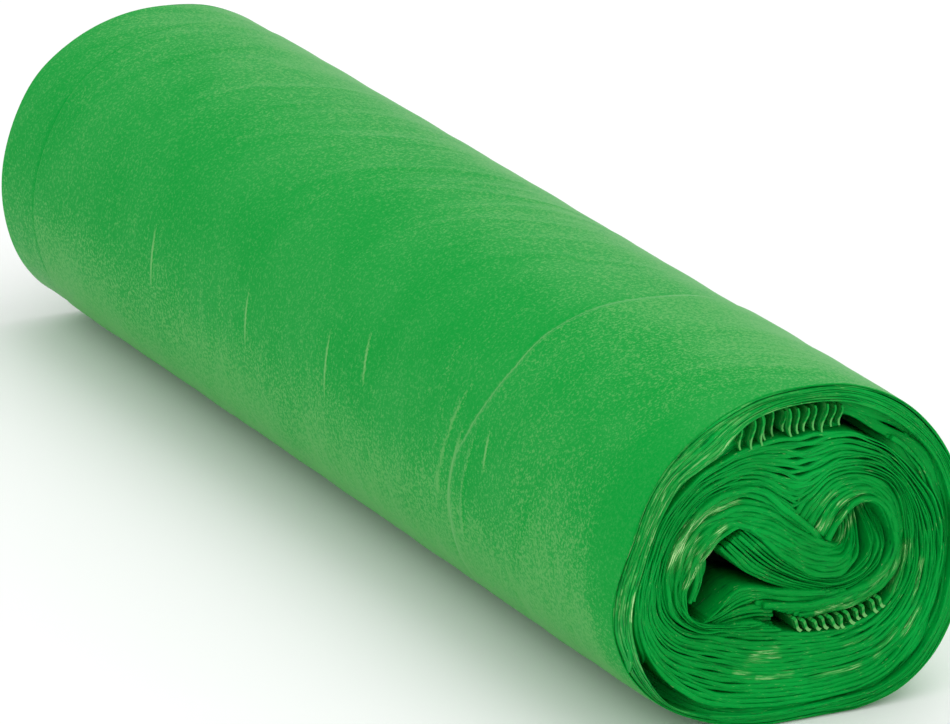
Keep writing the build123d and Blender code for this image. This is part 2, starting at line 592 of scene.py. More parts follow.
class ShaderGroups:
    """The effects that more than one finish uses, each built once."""

    def __init__(self) -> None:
        """Builds the groups."""
        self.grain = self._grain()
        self.streaks = self._streaks()
        self.pulls = self._pulls()

    @staticmethod
    def _start(name: str, inputs: dict[str, float], *outputs: str) -> tuple:
        """Starts a group with float inputs and outputs.

        Args:
            name: the group's name.
            inputs: each input's first value.
            outputs: the outputs' names.
        """
        group = bpy.data.node_groups.new(name, "ShaderNodeTree")
        for key, value in inputs.items():
            socket = group.interface.new_socket(key, in_out="INPUT", socket_type="NodeSocketFloat")
            socket.default_value = value
        for key in outputs:
            group.interface.new_socket(key, in_out="OUTPUT", socket_type="NodeSocketFloat")
        kit = NodeKit(group)
        return group, kit, kit.add("NodeGroupInput").outputs, kit.add("NodeGroupOutput").inputs

    def _grain(self) -> bpy.types.NodeTree:
        """The fine mottle of thin film: pale specks in a soft cloud, and their height.

        Returns:
            The group.
        """
        group, kit, source, target = self._start(
            "film_grain", {"Speck Size": 0.0008, "Cloud Size": 0.03}, "Specks", "Cloud", "Height")
        place = kit.add("ShaderNodeTexCoord").outputs["Object"]
        specks = kit.noise(place, 3.0, 0.8, kit.maths("DIVIDE", 1.0, source["Speck Size"]))
        cloud = kit.noise(place, 2.0, 0.5, kit.maths("DIVIDE", 1.0, source["Cloud Size"]))
        kit.feed(kit.ramp(specks, 0.43, 0.66), target["Specks"])
        kit.feed(kit.ramp(cloud, 0.35, 0.65), target["Cloud"])
        kit.feed(specks, target["Height"])
        return group

    def _streaks(self) -> bpy.types.NodeTree:
        """Lines along the film: the plies of a turn, with painted shade where they part, painted highlight
        where they fold and painted glints.

        Returns:
            The group.
        """
        group, kit, source, target = self._start(
            "ply_streaks", {"Ply Pitch": 0.00026, "Run Length": 0.006}, "Gap Shade", "Bright", "Glint", "Height")
        along, across = kit.film()
        along = kit.maths("DIVIDE", along, source["Run Length"])
        across = kit.maths("DIVIDE", across, source["Ply Pitch"])
        fields = []
        for stretch, squeeze in ((1.0, 1.0), (2.6, 1.5)):
            place = kit.vector(X=kit.scaled(along, stretch), Y=kit.scaled(across, squeeze), Z=7.0 * stretch)
            fields.append(kit.noise(place, 3.0, 0.65))
        plies, glints = fields
        # Painted shade where the plies part.
        kit.feed(kit.ramp(plies, 0.47, 0.33), target["Gap Shade"])
        # Painted highlight where the plies fold, and painted glints in short dashes.
        kit.feed(kit.ramp(plies, 0.52, 0.60), target["Bright"])
        kit.feed(kit.ramp(glints, 0.64, 0.74), target["Glint"])
        kit.feed(plies, target["Height"])
        return group

    def _pulls(self) -> bpy.types.NodeTree:
        """Fine drawn lines where film is pulled round the roll, gathered in loose patches.

        Returns:
            The group.
        """
        group, kit, source, target = self._start(
            "drawn_lines", {"Line Pitch": 0.0022, "Run Length": 0.03}, "Tone", "Height")
        along, across = kit.film()
        place = kit.vector(X=kit.maths("DIVIDE", along, source["Run Length"]),
                           Y=kit.maths("DIVIDE", across, source["Line Pitch"]))
        lines = kit.noise(place, 2.0)
        patches = kit.noise(kit.add("ShaderNodeTexCoord").outputs["Object"], 1.0, scale=22.0)
        patch = kit.ramp(patches, 0.40, 0.60)
        kit.feed(kit.scaled(kit.ramp(lines, 0.45, 0.70), patch), target["Tone"])
        kit.feed(kit.scaled(lines, patch), target["Height"])
        return group


@dataclass(frozen=True)
class FilmSurface:
    """Pigmented film seen flat on: soft gloss, with a painted sheen that turns it paler and more speckled the
    more it is seen at a slant.
    """

    name: str = "green_film"
    deep: Colour = (0.0, 0.312, 0.036, 1.0)
    middle: Colour = (0.024, 0.345, 0.060, 1.0)
    # The paler green of the painted sheen, shown at grazing angles.
    painted_sheen: Colour = (0.100, 0.405, 0.096, 1.0)
    # The whitish green of painted highlights on ridges and creases, partly stress whitening.
    highlight_and_whitening_tint: Colour = (0.38, 0.66, 0.28, 1.0)
    roughness: float = 0.40
    specular: float = 0.035
    grain_height: float = 0.00012
    pull_height: float = 0.00011

    def make(self, groups: ShaderGroups) -> Material:
        """Builds the material.

        Args:
            groups: the shared effects.

        Returns:
            The finished material.
        """
        material, kit, shader = new_material(self.name, self.roughness, self.specular)
        grain = kit.add("ShaderNodeGroup", node_tree=groups.grain).outputs
        pulls = kit.add("ShaderNodeGroup", node_tree=groups.pulls).outputs
        highlight_and_whitening = kit.add("ShaderNodeAttribute", attribute_name="highlight_and_whitening").outputs["Fac"]
        cloudy = kit.maths("ADD", kit.scaled(grain["Cloud"], 0.35), kit.scaled(grain["Specks"], 0.65))
        colour = kit.mix(cloudy, self.deep, self.middle)
        # Painted sheen: the facing angle, with the grain, drawn lines and highlight mask added, blends in the
        # paler green towards grazing angles.
        sheen_mask = kit.add("ShaderNodeLayerWeight", Blend=0.5).outputs["Facing"]
        shares = ((grain["Specks"], 0.44), (grain["Cloud"], 0.06), (pulls["Tone"], 0.10), (highlight_and_whitening, 2.2))
        for source, size in shares:
            sheen_mask = kit.maths("ADD", sheen_mask, kit.scaled(source, size))
        colour = kit.mix(kit.ramp(sheen_mask, 0.77, 1.20), colour, self.painted_sheen)
        # Painted highlight, partly stress whitening: the highlight mask blends in the whitish green.
        kit.feed(kit.mix(kit.ramp(highlight_and_whitening, 0.16, 0.9), colour, self.highlight_and_whitening_tint), shader.inputs["Base Color"])
        relief = kit.add("ShaderNodeBump", Strength=0.4, Distance=self.grain_height, Height=grain["Height"])
        drawn = kit.add("ShaderNodeBump", Strength=1.0, Distance=self.pull_height, Height=pulls["Height"],
                        Normal=relief.outputs["Normal"])
        kit.feed(drawn.outputs["Normal"], shader.inputs["Normal"])
        return material


@dataclass(frozen=True)
class FilmEdges:
    """Turns of film seen edge-on: plies as fine lines, with painted shade in the gaps, painted glints, and a
    painted highlight where they fold.
    """

    name: str = "green_film_edges"
    deep: Colour = (0.0, 0.285, 0.034, 1.0)
    # The dark green of the painted shade in the gaps between plies.
    gap: Colour = (0.0, 0.10, 0.018, 1.0)
    light: Colour = (0.0, 0.37, 0.050, 1.0)
    # The whitish green of painted glints and highlights, partly stress whitening.
    highlight_and_whitening_white: Colour = (0.46, 0.76, 0.32, 1.0)
    roughness: float = 0.34
    specular: float = 0.06
    ply_height: float = 0.0002

    def make(self, groups: ShaderGroups) -> Material:
        """Builds the material.

        Args:
            groups: the shared effects.

        Returns:
            The finished material.
        """
        material, kit, shader = new_material(self.name, self.roughness, self.specular)
        grain = kit.add("ShaderNodeGroup", node_tree=groups.grain).outputs
        plies = kit.add("ShaderNodeGroup", node_tree=groups.streaks).outputs
        colour = kit.mix(grain["Cloud"], self.deep, self.light)
        # Painted shade in the gaps between plies.
        colour = kit.mix(kit.scaled(plies["Gap Shade"], 0.75), colour, self.gap)
        # Painted glints: short random bright dashes along the plies.
        colour = kit.mix(kit.scaled(plies["Glint"], 0.5), colour, self.highlight_and_whitening_white)
        highlight_and_whitening = kit.add("ShaderNodeAttribute", attribute_name="highlight_and_whitening").outputs["Fac"]
        # Painted highlight along the edges, broken up where the plies fold, partly stress whitening.
        broken = kit.maths("ADD", plies["Bright"], 0.06)
        kit.feed(kit.mix(kit.scaled(highlight_and_whitening, broken), colour, self.highlight_and_whitening_white), shader.inputs["Base Color"])
        relief = kit.add("ShaderNodeBump", Strength=0.5, Distance=self.ply_height, Height=plies["Height"])
        kit.feed(relief.outputs["Normal"], shader.inputs["Normal"])
        return material


@dataclass(frozen=True)
class PaintedShadeTurns:
    """The turns far inside a hollow, coloured near black as painted shade, since hardly any light reaches
    there.
    """

    name: str = "painted_shade_turns"
    # Near-black greens that stand in for shade.
    deep: Colour = (0.004, 0.012, 0.005, 1.0)
    light: Colour = (0.010, 0.030, 0.012, 1.0)
    roughness: float = 0.8
    specular: float = 0.1

    def make(self, groups: ShaderGroups) -> Material:
        """Builds the material.

        Args:
            groups: the shared effects.

        Returns:
            The finished material.
        """
        material, kit, shader = new_material(self.name, self.roughness, self.specular)
        grain = kit.add("ShaderNodeGroup", node_tree=groups.grain).outputs
        kit.feed(kit.mix(grain["Cloud"], self.deep, self.light), shader.inputs["Base Color"])
        return material


# --- The roll ---


@dataclass
class Roll:
    """The sizes that every part of the roll shares."""

    half_length: float = 175.0
    section: Section = field(default_factory=Section)
    wrap_short: float = 22.0
    wrap_drop: float = 0.4
    rim_reach: float = 18.0
    middle_radius: float = 42.0

    def setback(self, angle: Array) -> Array:
        """How far the outermost ply stops short of the lip at the front end, most on the low visible side."""
        degrees = around(angle)
        return 1.2 + 6.3 * smoothstep(160, 197, degrees) * smoothstep(248, 205, degrees)

    def off_ground(self, angle: Array) -> Array:
        """1 where the film is free, falling to 0 over the flat spot."""
        degrees = around(angle)
        return 1 - bump(GROUND_ANGLE, 26, degrees)

    def angles(self, count: int) -> Array:
        """Equal angles once round the roll, from where it meets the ground."""
        return np.linspace(0, FULL_TURN, count, endpoint=False) + math.radians(GROUND_ANGLE)

    def pull(self, angle: Array) -> Array:
        """How far the wrinkles have moved along the roll, from the ground round to each angle.

        Args:
            angle: places round the roll, in radians.

        Returns:
            The move in mm at each angle.
        """
        degrees = around(angle)
        slope = 0.62 * bump(82, 46, degrees) - 0.25 * bump(178, 22, degrees)
        slope -= slope.mean()
        return np.cumsum(slope) * FULL_TURN * self.middle_radius / len(angle)

    def slack_depth(self, angle: Array) -> Array:
        """How much thinner the roll is behind the crease than in front of it."""
        degrees = around(angle)
        return 0.5 + 0.4 * bump(145, 35, degrees) - 0.4 * bump(228, 40, degrees)

    def rim_taper(self, angle: Array) -> Array:
        """How far the film draws in at the front rim."""
        degrees = around(angle)
        return 0.3 + 1.5 * bump(175, 45, degrees)


@dataclass(frozen=True)
class Crease:
    """A short sharp fold in the film that runs round the roll."""

    x: float
    slope: float
    start: float
    stop: float
    height: float
    width: float = 0.45


@dataclass(frozen=True)
class Wrinkle:
    """A long soft fold through listed (along, degrees round) points."""

    course: Points
    height: float
    width: float
    # How much painted highlight the wrinkle's ridge carries.
    highlight_and_whitening: float = 0.0

    def at(self, x: Array, degrees: Array, radius: float = 42.0) -> Array:
        """The fold's strength from 0 to 1 at each place.

        Args:
            x: places along the roll, in mm.
            degrees: places round the roll, in degrees.
            radius: the roll's radius there, in mm.

        Returns:
            The strength at each place.
        """
        scale = math.radians(radius)
        curve = spline_through(self.course, closed=False, per_span=6) * np.array([1.0, scale])
        nearest = np.full(np.broadcast(x, degrees).shape, 1e9)
        fade = np.zeros(nearest.shape)
        last = len(curve) - 2
        for index in range(last + 1):
            run = curve[index + 1] - curve[index]
            dx, dy = x - curve[index][0], degrees * scale - curve[index][1]
            share = np.clip((dx * run[0] + dy * run[1]) / (run @ run), 0, 1)
            gap = np.hypot(dx - share * run[0], dy - share * run[1])
            closer = gap < nearest
            nearest = np.where(closer, gap, nearest)
            fade = np.where(closer, (index + share) / (last + 1), fade)
        return bump(0, self.width, nearest) * np.clip(4 * fade * (1 - fade) * 1.4, 0, 1)


@dataclass
class OuterWrap:
    """The long outside of the roll: the last wraps of film, with their crease and wrinkles."""

    roll: Roll
    rounds: int = 216
    row_step: float = 1.35
    fine_step: float = 0.32
    wall: float = 0.3
    rim_turn: float = 22.0
    fold_span: tuple[float, float] = (83, 104)
    fold_step: float = 0.42
    rim_step: float = 0.6
    rim_probes: tuple[float, ...] = (1, 6, 11, 15)
    fold: Points = field(default_factory=lambda: [
        (60, 103), (90, 101), (111, 99), (126, 97), (139, 98), (150, 96), (163, 93), (170, 90), (181, 88),
        (193, 87), (230, 85), (290, 90), (350, 100), (420, 103),
    ])
    creases: tuple[Crease, ...] = (
        Crease(-81.5, 1.5, 160, 182, 0.16, 0.40),
        Crease(-26.5, 1.5, 161, 181, 0.14, 0.36),
        Crease(18.0, 2.0, 157, 180, 0.16, 0.38),
        Crease(36.5, 2.4, 152, 170, 0.15, 0.42),
        Crease(103.5, 1.0, 157, 171, 0.14, 0.36),
    )
    wrinkles: tuple[Wrinkle, ...] = (
        Wrinkle([(-107, 124), (-103, 117), (-90, 91), (-81, 64)], 0.14, 1.5),
        Wrinkle([(-128, 108), (-125, 102), (-115, 87), (-91, 80)], 0.11, 1.3),
        Wrinkle([(-84, 112), (-74, 92), (-64, 68)], 0.10, 1.1),
        Wrinkle([(-72, 126), (-68, 120), (-46, 96), (-30, 68)], 0.16, 1.5),
        Wrinkle([(-64, 126), (-56, 112), (-38, 90), (-22, 64)], 0.10, 1.0),
        Wrinkle([(-38, 132), (-34, 125), (-7, 82), (2, 62)], 0.15, 1.6),
        Wrinkle([(-30, 138), (-14, 112), (4, 84), (12, 62)], 0.10, 1.1),
        Wrinkle([(-20, 128), (-2, 104), (18, 76), (26, 56)], 0.13, 1.3),
        Wrinkle([(14, 122), (30, 98), (46, 72)], 0.12, 1.3),
        Wrinkle([(24, 132), (38, 112), (54, 84), (60, 68)], 0.09, 1.0),
        Wrinkle([(40, 130), (56, 104), (72, 84), (80, 66)], 0.14, 1.4),
        Wrinkle([(-150, 150), (-139, 128), (-132, 104), (-128, 78)], 0.12, 1.6),
        Wrinkle([(-60, 150), (-52, 168), (-47, 186)], 0.10, 1.2),
        Wrinkle([(-8, 156), (0, 172), (5, 190)], 0.10, 1.2),
        Wrinkle([(52, 150), (60, 166), (64, 186)], 0.12, 1.2),
        Wrinkle([(70, 138), (77, 158), (80, 184)], 0.14, 1.0, 0.08),
        Wrinkle([(86, 148), (83, 170), (80, 190)], 0.20, 0.8, 0.24),
        Wrinkle([(90, 158), (88, 174), (85, 196)], 0.16, 0.7, 0.20),
        Wrinkle([(98, 156), (96, 172), (93, 200)], 0.16, 0.9, 0.12),
        Wrinkle([(108, 128), (112, 150), (110, 176)], 0.10, 1.6),
        Wrinkle([(126, 100), (131, 124), (129, 150)], 0.10, 2.0),
        Wrinkle([(-150, 22), (-128, -6), (-112, -34)], 0.18, 1.8, 0.05),
        Wrinkle([(-124, 44), (-98, 8), (-74, -22)], 0.16, 1.4, 0.07),
        Wrinkle([(-96, 30), (-84, 2), (-70, -30)], 0.12, 1.0, 0.05),
        Wrinkle([(-66, 48), (-40, 6), (-14, -26)], 0.20, 2.0, 0.07),
        Wrinkle([(-50, 24), (-34, -4), (-20, -36)], 0.12, 1.1, 0.05),
        Wrinkle([(-22, 50), (4, 16), (22, -12)], 0.16, 1.5, 0.06),
        Wrinkle([(8, 34), (34, 2), (60, -28)], 0.20, 2.2, 0.07),
        Wrinkle([(30, 46), (52, 18), (66, -6)], 0.12, 1.1, 0.04),
        Wrinkle([(58, 40), (84, 8), (104, -20)], 0.16, 1.6, 0.06),
        Wrinkle([(92, 44), (114, 14), (136, -8)], 0.16, 1.9, 0.05),
        Wrinkle([(60, -34), (64, -48), (66, -62)], 0.14, 0.9, 0.20),
        Wrinkle([(-36, -32), (-33, -46), (-32, -60)], 0.14, 0.9, 0.18),
        Wrinkle([(-100, -34), (-98, -48), (-98, -60)], 0.12, 0.8, 0.16),
    )

    def crease_line(self, degrees: Array) -> Array:
        """X of the crease round the roll, which strays towards the far end on the visible side."""
        at, x = np.array(self.fold).T
        return np.interp((degrees - 60) % 360 + 60, at, x)

    def row_places(self, low: float, high: float) -> Array:
        """X of the mesh rows, close together where there is a sharp fold.

        Args:
            low: X of the first row.
            high: X of the last row.

        Returns:
            The rows' X, in rising order.
        """
        places = [low, low + 0.08]
        while places[-1] < high:
            x = places[-1]
            near = any(abs(x - crease.x) < 4.2 for crease in self.creases)
            step = self.rim_step if x > high - 6 else self.row_step
            if self.fold_span[0] < x < self.fold_span[1]:
                step = self.fold_step
            places.append(x + (self.fine_step if near else step))
        places[-1] = high
        return np.array(places)

    def relief(self, x: Array, angle: Array) -> tuple[Array, Array]:
        """How far the film lies inside the fullest section, and how much painted highlight and sheen it
        carries, partly stress whitening at the creases.

        Args:
            x: place along the roll.
            angle: place round the roll, in radians.

        Returns:
            The drop in mm and the painted highlight and sheen from 0 to 1, at each place.
        """
        degrees = around(angle)
        line = self.crease_line(degrees) + 0.5 * Ripple(17, (3, 7, 12)).at(angle)
        seen = bump(145, 62, degrees)
        drop = self.roll.slack_depth(angle) * smoothstep(1.8, -1.8, x - line)
        drop = drop + 0.16 * seen * bump(-1.6, 1.1, x - line)
        broken = np.clip(0.75 + 0.5 * Ripple(20, (5, 9, 17)).at(angle), 0.2, 1.2)
        ridge = seen * broken * bump(0, 0.50, x - line)
        drop -= 0.16 * ridge
        # Painted highlight along the crease ridge on the visible side, partly stress whitening.
        highlight_and_whitening = 0.26 * ridge * smoothstep(112, 138, degrees)
        rim = np.clip((x - self.roll.half_length + self.roll.rim_reach) / self.roll.rim_reach, 0, 1)
        drop += self.roll.rim_taper(angle) * rim**1.5
        drop += self.soft_waves(x, angle)
        for wrinkle in self.wrinkles:
            strength = wrinkle.at(x, degrees)
            drop -= wrinkle.height * strength
            # Painted highlight on the wrinkle ridges.
            highlight_and_whitening = np.maximum(highlight_and_whitening, wrinkle.highlight_and_whitening * strength)
        for crease in self.creases:
            middle = (crease.start + crease.stop) / 2
            reach = (crease.stop - crease.start) / 2
            offset = (degrees - middle) / reach
            window = np.clip(1 - offset**2, 0, 1)
            ridge = bump(0, crease.width, x - crease.x - crease.slope * offset) * window
            drop -= crease.height * ridge
            # Painted highlight on the short creases, partly stress whitening.
            highlight_and_whitening = np.maximum(highlight_and_whitening, 0.50 * ridge)
        # Painted sheen in broad zones: behind the crease, near the front rim and along the low side.
        edge = 4 * Ripple(21, (2, 3, 5)).at(x / 40)
        bend = 22 + 0.35 * (degrees - 150)
        slack = smoothstep(bend - 3, bend + 1, x - line) * smoothstep(161, 157, x + 0.03 * (degrees - 170))
        highlight_and_whitening = np.maximum(highlight_and_whitening, 0.085 * slack * bump(178, 40, degrees))
        front = smoothstep(166, 159, x) * smoothstep(-1, 3, x - line)
        highlight_and_whitening = np.maximum(highlight_and_whitening, 0.05 * front * bump(118, 50, degrees))
        low = smoothstep(170, 184, degrees + edge) * smoothstep(262, 240, degrees) * smoothstep(163, 158, x)
        highlight_and_whitening = np.maximum(highlight_and_whitening, 0.06 * low)
        return drop * self.roll.off_ground(angle), highlight_and_whitening

    def soft_waves(self, x: Array, angle: Array) -> Array:
        """The shallow waves of film pulled round the roll at a slight slant.

        Args:
            x: place along the roll.
            angle: place round the roll, in radians.

        Returns:
            The waves' depth in mm at each place.
        """
        degrees = around(angle)
        slant = x + 0.42 * (degrees - 90)
        fan = Ripple(11, (3, 5, 8)).at(slant / 30.0, degrees / 45)
        lumps = Ripple(13, (1, 2, 3)).at(angle, x / 40)
        bend = 5.0 * Ripple(18, (2, 3)).at(slant / 60.0, degrees / 30)
        fine = Ripple(12, (2, 3, 5)).at((slant + bend) / 7.5, degrees / 24)
        where = np.clip(Ripple(19, (2, 3, 4)).at(slant / 50.0 + 1.0, degrees / 20), 0, 1)
        return 0.08 * fan + 0.20 * lumps + 0.07 * fine * where

    def under_drop(self, x: Array, angle: Array) -> Array:
        """How far the wraps at the far end lie inside the fullest section.

        Args:
            x: place along the roll.
            angle: place round the roll, in radians.

        Returns:
            The drop in mm at each place.
        """
        drop = self.roll.wrap_drop + self.roll.slack_depth(angle) + self.soft_waves(x, angle)
        tucked = smoothstep(-2, 2, x + self.roll.half_length - self.roll.wrap_short)
        return drop * self.roll.off_ground(angle) + 0.9 * tucked

    def skin(self, end: End, angle: Array) -> Array:
        """The distance from the centre to the inside of the wrap, at an end's rim.

        Args:
            end: which end of the roll.
            angle: places round the roll, in radians.

        Returns:
            The distance in mm at each angle.
        """
        half = self.roll.half_length
        if end is End.FRONT:
            drop = self.relief(half - self.roll.setback(angle), angle)[0]
        else:
            probes = [self.under_drop(np.full(angle.shape, x - half), angle) for x in self.rim_probes]
            drop = np.max(probes, axis=0)
        return self.roll.section.radius("outside", angle) - drop - self.wall

    def build(self, material: Material) -> Object:
        """Makes the outermost wrap, from its short far edge to the front rim.

        Args:
            material: the finish of all its faces.

        Returns:
            The piece.
        """
        half = self.roll.half_length
        angles = self.roll.angles(self.rounds)
        rim = half - self.roll.setback(angles)
        places = self.row_places(-half + self.roll.wrap_short, half)
        turned = half - self.rim_turn
        share = np.clip((places - turned) / (half - turned), 0, 1)[:, None]
        rows = np.where(places[:, None] < turned, places[:, None], turned + share * (rim[None] - turned))
        rows[:2] += 0.5 * Ripple(15, (1, 2, 5, 9)).at(angles)
        drop, highlight_and_whitening = self.relief(rows, angles[None, :])
        outer = self.roll.section.radius("outside", angles)[None] - drop
        parts = MeshParts()
        Tube(self.wall).build(parts, angles, rows, outer, self.roll.section, highlight_and_whitening, self.roll.pull(angles))
        return parts.make("outer_wrap", material)

    def build_under(self, material: Material) -> Object:
        """Makes the wraps that show past the short edge at the far end.

        Args:
            material: the finish of all its faces.

        Returns:
            The piece.
        """
        half = self.roll.half_length
        angles = self.roll.angles(self.rounds)
        places = np.arange(-half, -half + self.roll.wrap_short + 12, 0.9)
        start = places[:, None] + np.zeros((1, self.rounds))
        start[0] = -half + 0.8 + 0.5 * Ripple(16, (1, 3, 4, 7)).at(angles)
        outer = self.roll.section.radius("outside", angles)[None] - self.under_drop(start, angles[None, :])
        parts = MeshParts()
        flat = np.zeros(start.shape)
        Tube(self.wall).build(parts, angles, start, outer, self.roll.section, flat, self.roll.pull(angles))
        return parts.make("under_wrap", material)


@dataclass(frozen=True)
class Stroke:
    """A painted highlight along the film's edges, partly stress whitening, from one place in the section to
    another.
    """

    start: tuple[float, float]
    stop: tuple[float, float]
    width: float = 0.5
    strength: float = 0.8

    def at(self, place: Array) -> Array:
        """The stroke's painted highlight at (n, 2) places.

        Args:
            place: (n, 2) places across the section.

        Returns:
            The highlight at each place.
        """
        start = np.array(self.start)
        run = np.array(self.stop) - start
        share = np.clip(((place - start) @ run) / (run @ run), 0, 1)
        gap = np.linalg.norm(place - start - share[:, None] * run, axis=1)
        return self.strength * np.exp(-((gap / self.width) ** 2))


# Painted highlights, partly stress whitening, along the turn edges at each end, placed where the edges are
# seen.
FRONT_STROKES = tuple(Stroke(*row) for row in (
    ((-31.5, 43), (-28, 51.5), 1.1, 1),
    ((-27.5, 51.5), (-22, 54.5), 0.9, 0.9),
    ((-21.5, 55), (-15, 56.4), 0.6, 0.9),
    ((-28, 42), (-25.5, 49), 0.6, 0.7),
    ((-28.5, 37.5), (-20, 49), 0.6, 0.8),
    ((-25, 44.5), (-18.5, 50), 0.5, 0.6),
    ((-33, 43), (-30.5, 48.5), 0.5, 0.5),
    ((11.5, 42), (17.3, 50.3), 0.6, 1),
    ((5.8, 46), (8.5, 47.6), 0.7, 0.9),
    ((9.7, 42), (13, 48.5), 0.4, 0.6),
    ((11, 51), (17.5, 53), 0.5, 0.6),
    ((4.5, 51), (10, 54), 0.5, 0.3),
    ((29.5, 38.5), (25, 28.5), 0.9, 0.7),
    ((27, 34.5), (20, 30), 0.6, 0.6),
    ((26, 30.5), (19, 25), 0.6, 0.9),
    ((20, 28.5), (11, 25), 0.4, 0.6),
    ((14, 27.5), (5.5, 25.5), 0.4, 0.6),
    ((33, 34), (31, 24), 0.5, 0.5),
    ((32, 22), (28.5, 17), 0.6, 0.9),
    ((26, 18), (21, 12.5), 0.5, 0.6),
    ((-11.5, 17.7), (-5, 18.3), 0.6, 0.7),
    ((-13, 16.3), (-4, 16.6), 0.4, 0.5),
    ((-15.5, 14.8), (-12, 13.2), 0.5, 0.7),
    ((-10, 12.2), (-1, 11.7), 0.4, 0.5),
    ((5, 10.3), (17, 10.6), 0.4, 0.4),
    ((13, 16.3), (20, 17), 0.4, 0.3),
))

BACK_STROKES = tuple(Stroke(*row) for row in (
    ((30, 45), (26, 52), 0.9, 0.8),
    ((24, 54), (16, 56.5), 0.6, 0.7),
    ((-30, 34), (-29, 42), 0.8, 0.6),
    ((-12, 12), (2, 11), 0.5, 0.5),
    ((-24, 24), (-12, 19), 0.6, 0.6),
    ((10, 13), (20, 15), 0.4, 0.5),
    ((32, 28), (28, 20), 0.6, 0.6),
))


@dataclass
class TurnStack:
    """The edges of the turns at one end: the slack outer bundle and the tight ring under it."""

    roll: Roll
    wrap: OuterWrap
    end: End
    seed: int
    strokes: tuple[Stroke, ...]
    segments: int = 236
    ring_turns: int = 18
    bundle_turns: int = 9
    dish: float = 4.0

    def highlight_and_whitening_at(self, place: Array, recess: Array) -> Array:
        """The strokes' painted highlight, partly stress whitening, allowing for how a recessed edge is seen
        from the front.

        Args:
            place: (n, 2) places across the section.
            recess: (n,) how far the edge is inside the end plane.

        Returns:
            The highlight, from 0 to 1.
        """
        seen = place + np.stack([-0.5 * recess, 0.37 * recess], axis=1)
        if self.end is End.BACK:
            seen = place
        return np.clip(1.25 * sum(stroke.at(seen) for stroke in self.strokes), 0, 1)

    def recess_at(self, share: Array) -> Array:
        """How far the turns are dished in, from the ring's outside at 1 to the heart at 0."""
        return 0.8 + self.dish * (1 - share) ** 0.8

    def build_ring(self, material: Material) -> Object:
        """Makes the ring as one strip of film wound from the heart outwards.

        Args:
            material: the finish of all its faces.

        Returns:
            The piece.
        """
        section = self.roll.section
        count = self.segments * self.ring_turns
        turn = np.arange(count) / self.segments
        angle = FULL_TURN * turn
        calm = 1 - 0.65 * bump(270, 45, around(angle))
        share = turn / (self.ring_turns - 1)
        inner = section.radius("heart", angle)
        outer = section.radius("ring", angle)
        pitch = (outer - inner) / (self.ring_turns - 1)
        crowd = Ripple(self.seed, (1, 2, 3, 5)).at(angle, turn * 0.25)
        radius = inner + (outer - inner) * share + 1.3 * pitch * crowd * np.sin(math.pi * share)
        wander = Ripple(self.seed + 1, (5, 9, 14, 23), 1.6).at(angle, turn)
        radius += 0.34 * pitch * wander * calm
        tight = Ripple(self.seed + 2, (2, 3, 5, 8, 13), 1.4).at(angle, turn)
        thickness = pitch * np.clip(1.18 + 0.40 * (tight - 0.2) * calm, 0.66, 1.25)
        ragged = Ripple(self.seed + 3, (3, 5, 9, 14, 31), 1.6).at(angle, turn)
        rng = np.random.RandomState(self.seed)
        jumps = np.interp(turn, np.arange(self.ring_turns + 1), rng.normal(0, 0.42, self.ring_turns + 1))
        recess = np.maximum(self.recess_at(share) + (0.42 * ragged + jumps) * calm, 0.1)
        flare = 0.25 * Ripple(self.seed + 4, (2, 3, 4, 7), 0.6).at(angle, turn) * calm
        path = section.point(angle, radius)
        parts = MeshParts()
        # Painted highlight strokes on the ring's edges.
        highlight_and_whitening = self.highlight_and_whitening_at(path, recess)
        Ribbon(self.end, self.roll.half_length, 20.0).build(parts, path, thickness, recess, flare, highlight_and_whitening)
        return parts.make(f"ring_turns_{self.end.name.lower()}", material)

    def build_bundle(self, material: Material) -> Object:
        """Makes the slack outer turns, whose edges step back towards the outside of the roll.

        Args:
            material: the finish of all its faces.

        Returns:
            The piece.
        """
        section = self.roll.section
        parts = MeshParts()
        angle = self.roll.angles(self.segments)
        degrees = around(angle)
        inner = section.radius("bundle", angle)
        outer = self.wrap.skin(self.end, angle)
        setback = self.roll.setback(angle) if self.end is End.FRONT else 1.0 + 1.5 * bump(60, 50, degrees)
        rng = np.random.RandomState(self.seed + 9)
        shares = np.cumsum(np.concatenate([[0.0], rng.uniform(0.5, 1.5, self.bundle_turns - 1)]))
        shares /= shares[-1]
        pitch = (outer - inner) / self.bundle_turns
        depth = 26.0 if self.end is End.FRONT else 14.0
        for turn, share in enumerate(shares):
            wander = Ripple(self.seed + 5, (3, 5, 8, 12), 0.8).at(angle, turn)
            loose = min(4 * (1 - share), 1.0)
            radius = inner + (outer - inner) * (0.04 + 0.91 * share) + 0.14 * pitch * wander * loose
            fill = 1.25 + 0.35 * loose * Ripple(self.seed + 6, (2, 3, 5, 9), 1.0).at(angle, turn)
            ragged = Ripple(self.seed + 7, (3, 5, 9, 16), 1.2).at(angle, turn)
            recess = np.maximum(share**0.9 * setback + 0.35 * ragged * (0.4 + share), 0.05)
            edge = Ripple(self.seed + 10, (4, 7, 11, 19), 1.1).at(angle, turn)
            # Painted highlight along the bundle's edges, strongest on the outermost turn.
            lip = bump(152, 54, degrees) * (1.1 if turn == 0 else 0.40) * np.clip(0.6 + 0.8 * edge, 0, 1.4)
            if self.end is End.BACK:
                lip = lip * 0.5
            flare = 0.15 * Ripple(self.seed + 8, (2, 5, 7), 0.8).at(angle, turn)
            path = section.point(angle, radius)
            thickness = np.clip(pitch * fill, 0.12, np.maximum(1.9 * (outer - radius), 0.14))
            ribbon = Ribbon(self.end, self.roll.half_length, depth)
            ribbon.build(parts, path, thickness, recess, flare, lip, closed=True)
        return parts.make(f"bundle_turns_{self.end.name.lower()}", material)

